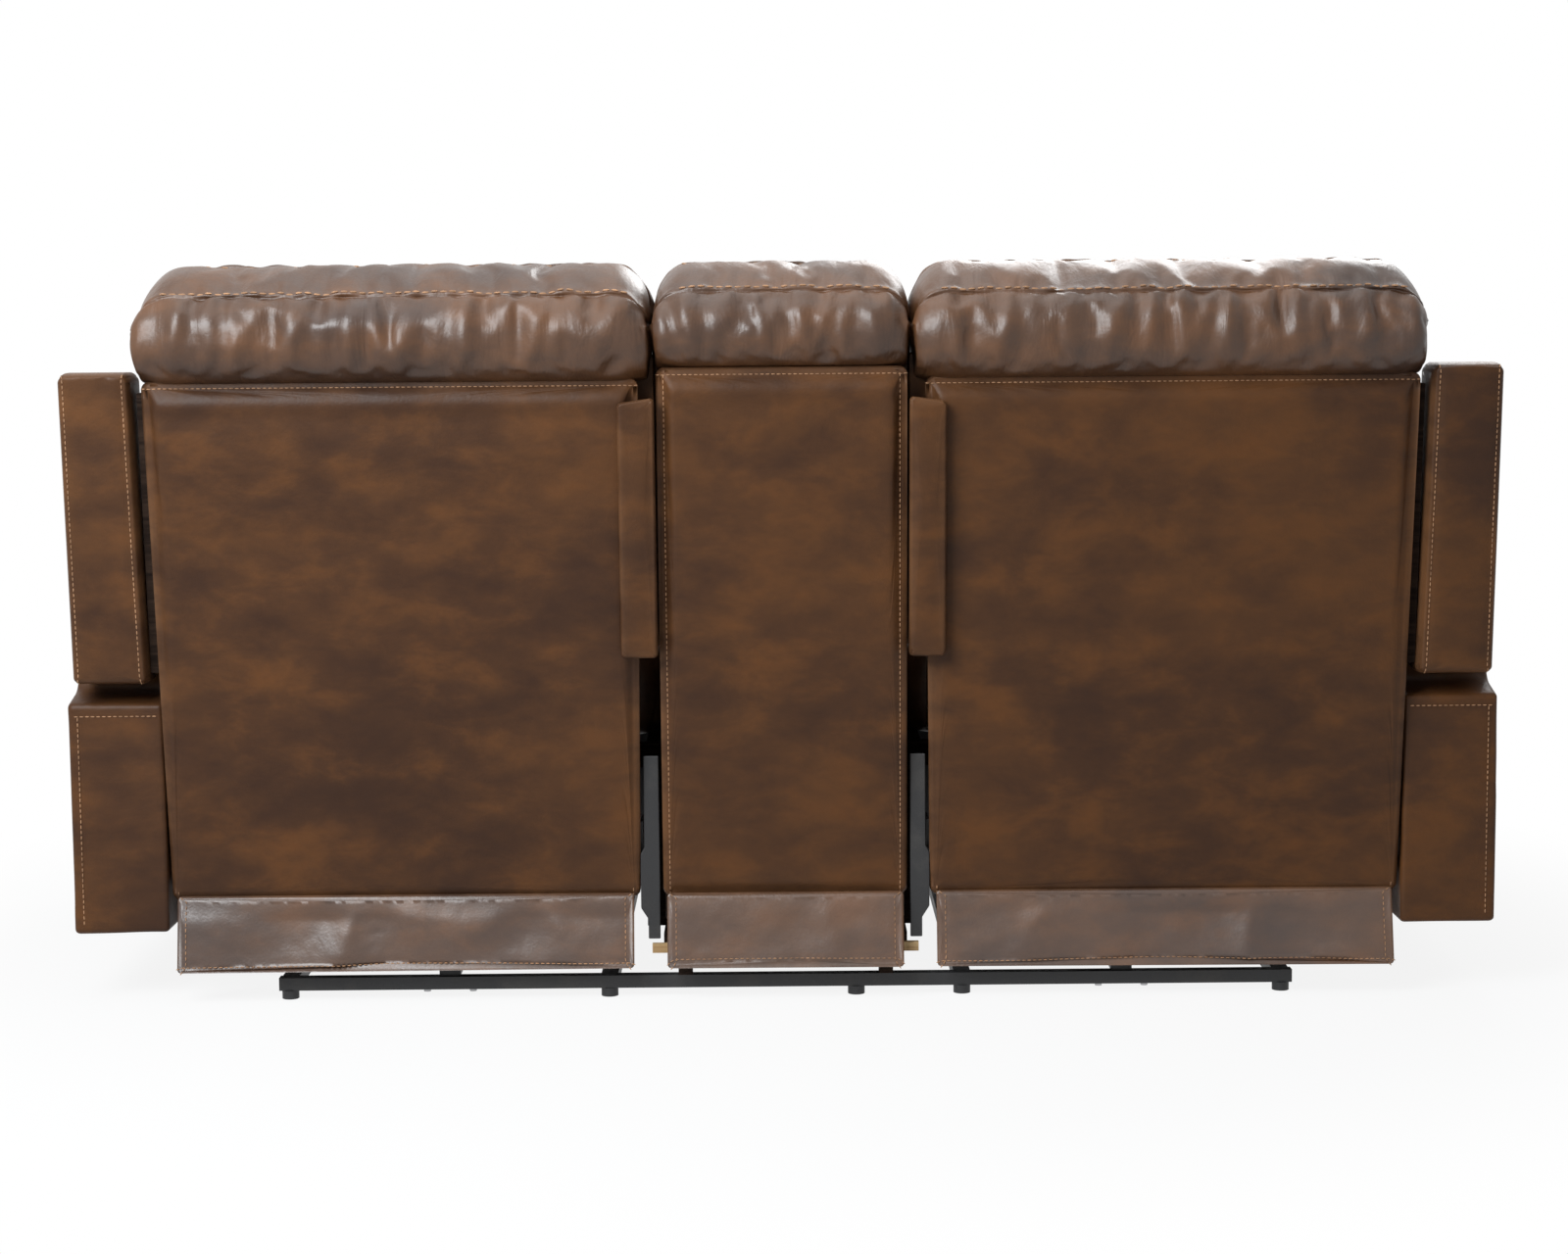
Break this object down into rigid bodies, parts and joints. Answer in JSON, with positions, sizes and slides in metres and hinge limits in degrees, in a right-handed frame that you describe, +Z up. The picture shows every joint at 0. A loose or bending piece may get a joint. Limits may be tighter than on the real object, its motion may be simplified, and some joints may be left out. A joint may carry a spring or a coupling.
{
  "type": "reclining sofa",
  "caption": "Leather reclining sofa with a centre console, wing backs that tilt, folding footrests, a hinged storage lid and cup holders.",
  "frame": {"origin": "on the floor under the middle of the sofa's bounding box", "axes": "+X to the sitter's left, +Y to the rear, +Z up"},
  "size_m": [2, 1.0247, 1.0373],
  "materials": {
    "panel_leather": "mottled dark brown leather, semi-gloss, slightly worn at the edges",
    "cushion_leather": "soft brown leather over foam and fibre filling, gathered wrinkles, semi-gloss",
    "flap_leather": "thin creased brown leather flap, glossier",
    "black_steel": "black powder-coated steel, satin",
    "zinc_steel": "zinc plated bolt heads",
    "spring_steel": "bare spring wire",
    "black_plastic": "black moulded plastic",
    "cup_metal": "brushed steel cup",
    "plywood": "raw plywood boards",
    "pale_wood": "pale yellowish timber rail"
  },
  "bodies": {
    "frame": {"actuators": "black_steel", "bar_bolts": "zinc_steel", "base_frame": "black_steel", "console_back_cushion": "cushion_leather", "console_back_flap": "flap_leather", "console_back_panel": "panel_leather", "console_bin": "black_plastic", "console_cover": "panel_leather", "console_deck": "panel_leather", "console_frame": "plywood", "console_head_cushion": "cushion_leather", "console_rear_rail": "pale_wood", "cup_holders": "cup_metal", "feet": "black_plastic", "left_arm_cover": "panel_leather", "left_arm_frame": "plywood", "left_arm_pad": "cushion_leather", "left_mechanism_plates": "black_steel", "left_seat_cushion": "cushion_leather", "left_seat_frame": "plywood", "lid_hinge_barrel": "black_steel", "right_arm_cover": "panel_leather", "right_arm_frame": "plywood", "right_arm_pad": "cushion_leather", "right_mechanism_plates": "black_steel", "right_seat_cushion": "cushion_leather", "right_seat_frame": "plywood", "seat_springs": "spring_steel", "switch_plates": "black_plastic"},
    "console_lid": {"console_lid": "panel_leather"},
    "left_back": {"left_back_frame": "plywood", "left_back_panel": "panel_leather", "left_back_cushion": "cushion_leather", "left_head_cushion": "cushion_leather", "left_outer_wing": "panel_leather", "left_inner_wing": "panel_leather", "left_back_brackets": "black_steel"},
    "left_flap": {"left_back_flap": "flap_leather"},
    "left_lower_links": {"left_lower_links": "black_steel"},
    "left_upper_links": {"left_upper_links": "black_steel"},
    "left_footrest": {"left_footrest_frame": "black_steel", "left_footrest_pad": "cushion_leather"},
    "left_torque_tube": {"left_torque_tube": "black_steel"},
    "left_open_button": {"left_open_button": "black_plastic"},
    "left_close_button": {"left_close_button": "black_plastic"},
    "right_back": {"right_back_frame": "plywood", "right_back_panel": "panel_leather", "right_back_cushion": "cushion_leather", "right_head_cushion": "cushion_leather", "right_outer_wing": "panel_leather", "right_inner_wing": "panel_leather", "right_back_brackets": "black_steel"},
    "right_flap": {"right_back_flap": "flap_leather"},
    "right_lower_links": {"right_lower_links": "black_steel"},
    "right_upper_links": {"right_upper_links": "black_steel"},
    "right_footrest": {"right_footrest_frame": "black_steel", "right_footrest_pad": "cushion_leather"},
    "right_torque_tube": {"right_torque_tube": "black_steel"},
    "right_open_button": {"right_open_button": "black_plastic"},
    "right_close_button": {"right_close_button": "black_plastic"}
  },
  "joints": [
    {"name": "left_back_recline", "type": "hinge", "parent": "frame", "child": "left_back", "pos_m": [0.4765, 0.33, 0.27], "axis": [-1, 0, 0], "range_deg": [0, 30]},
    {"name": "left_flap_drape", "type": "hinge", "parent": "left_back", "child": "left_flap", "pos_m": [0.4765, 0.41, 0.1461], "axis": [-1, 0, 0], "range_deg": [-54.5, 0]},
    {"name": "left_footrest_extend", "type": "hinge", "parent": "frame", "child": "left_lower_links", "pos_m": [0.4765, -0.418, 0.285], "axis": [-1, 0, 0], "range_deg": [0, 80]},
    {"name": "left_link_unfold", "type": "hinge", "parent": "left_lower_links", "child": "left_upper_links", "pos_m": [0.4765, -0.418, 0.11], "axis": [-1, 0, 0], "range_deg": [-160.5, 0]},
    {"name": "left_footrest_tilt", "type": "hinge", "parent": "left_upper_links", "child": "left_footrest", "pos_m": [0.4765, -0.418, 0.285], "axis": [-1, 0, 0], "range_deg": [0, 160.5]},
    {"name": "left_torque_tube_turn", "type": "hinge", "parent": "frame", "child": "left_torque_tube", "pos_m": [0.4765, -0.15, 0.18], "axis": [-1, 0, 0], "range_deg": [0, 80.5]},
    {"name": "left_open_button_press", "type": "slide", "parent": "frame", "child": "left_open_button", "axis": [1, 0, 0], "range_m": [0, 0.0015], "stiffness_N_per_m": 800},
    {"name": "left_close_button_press", "type": "slide", "parent": "frame", "child": "left_close_button", "axis": [1, 0, 0], "range_m": [0, 0.0015], "stiffness_N_per_m": 800},
    {"name": "right_back_recline", "type": "hinge", "parent": "frame", "child": "right_back", "pos_m": [-0.4765, 0.33, 0.27], "axis": [-1, 0, 0], "range_deg": [0, 30]},
    {"name": "right_flap_drape", "type": "hinge", "parent": "right_back", "child": "right_flap", "pos_m": [-0.4765, 0.41, 0.1461], "axis": [-1, 0, 0], "range_deg": [-54.5, 0]},
    {"name": "right_footrest_extend", "type": "hinge", "parent": "frame", "child": "right_lower_links", "pos_m": [-0.4765, -0.418, 0.285], "axis": [-1, 0, 0], "range_deg": [0, 80]},
    {"name": "right_link_unfold", "type": "hinge", "parent": "right_lower_links", "child": "right_upper_links", "pos_m": [-0.4765, -0.418, 0.11], "axis": [-1, 0, 0], "range_deg": [-160.5, 0]},
    {"name": "right_footrest_tilt", "type": "hinge", "parent": "right_upper_links", "child": "right_footrest", "pos_m": [-0.4765, -0.418, 0.285], "axis": [-1, 0, 0], "range_deg": [0, 160.5]},
    {"name": "right_torque_tube_turn", "type": "hinge", "parent": "frame", "child": "right_torque_tube", "pos_m": [-0.4765, -0.15, 0.18], "axis": [-1, 0, 0], "range_deg": [0, 80.5]},
    {"name": "right_open_button_press", "type": "slide", "parent": "frame", "child": "right_open_button", "axis": [-1, 0, 0], "range_m": [0, 0.0015], "stiffness_N_per_m": 800},
    {"name": "right_close_button_press", "type": "slide", "parent": "frame", "child": "right_close_button", "axis": [-1, 0, 0], "range_m": [0, 0.0015], "stiffness_N_per_m": 800},
    {"name": "console_lid_open", "type": "hinge", "parent": "frame", "child": "console_lid", "pos_m": [0, 0.124, 0.564], "axis": [-1, 0, 0], "range_deg": [0, 85]}
  ],
  "couplings": [
    {"joint": "left_flap_drape", "follows": "left_back_recline", "ratio": -1.8},
    {"joint": "left_link_unfold", "follows": "left_footrest_extend", "ratio": -2},
    {"joint": "left_footrest_tilt", "follows": "left_footrest_extend", "ratio": 2},
    {"joint": "left_torque_tube_turn", "follows": "left_footrest_extend", "ratio": 1},
    {"joint": "right_flap_drape", "follows": "right_back_recline", "ratio": -1.8},
    {"joint": "right_link_unfold", "follows": "right_footrest_extend", "ratio": -2},
    {"joint": "right_footrest_tilt", "follows": "right_footrest_extend", "ratio": 2},
    {"joint": "right_torque_tube_turn", "follows": "right_footrest_extend", "ratio": 1}
  ]
}
